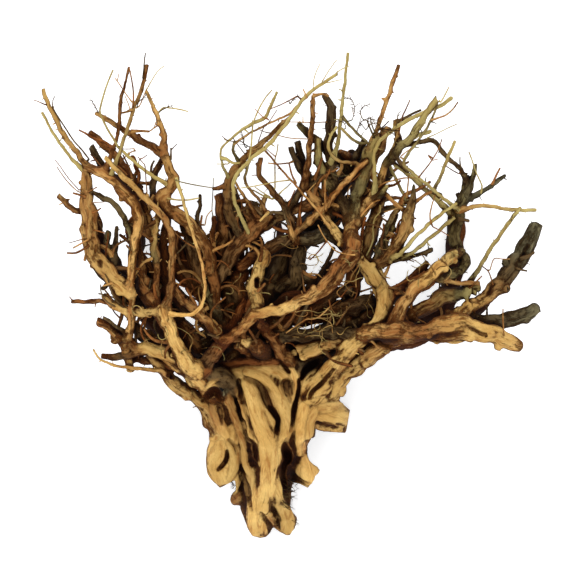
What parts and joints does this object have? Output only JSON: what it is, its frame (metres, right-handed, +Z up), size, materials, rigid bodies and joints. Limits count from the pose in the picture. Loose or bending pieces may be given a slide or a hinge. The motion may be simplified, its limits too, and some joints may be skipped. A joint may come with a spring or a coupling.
{
  "type": "aquarium driftwood root",
  "caption": "Dried root crown of driftwood that lies on the floor of an aquarium and gives fish and plants cover among its roots.",
  "frame": {"origin": "centre of the wood's bounding box in plan, on the ground that it lies on", "axes": "+X across the crown, +Y from the sawn foot to the root tips, +Z up from the ground that the wood lies on"},
  "size_m": [0.4958, 0.4906, 0.2238],
  "materials": {
    "wood": "matt"
  },
  "bodies": {
    "root": {"driftwood_root": "wood"}
  },
  "joints": []
}
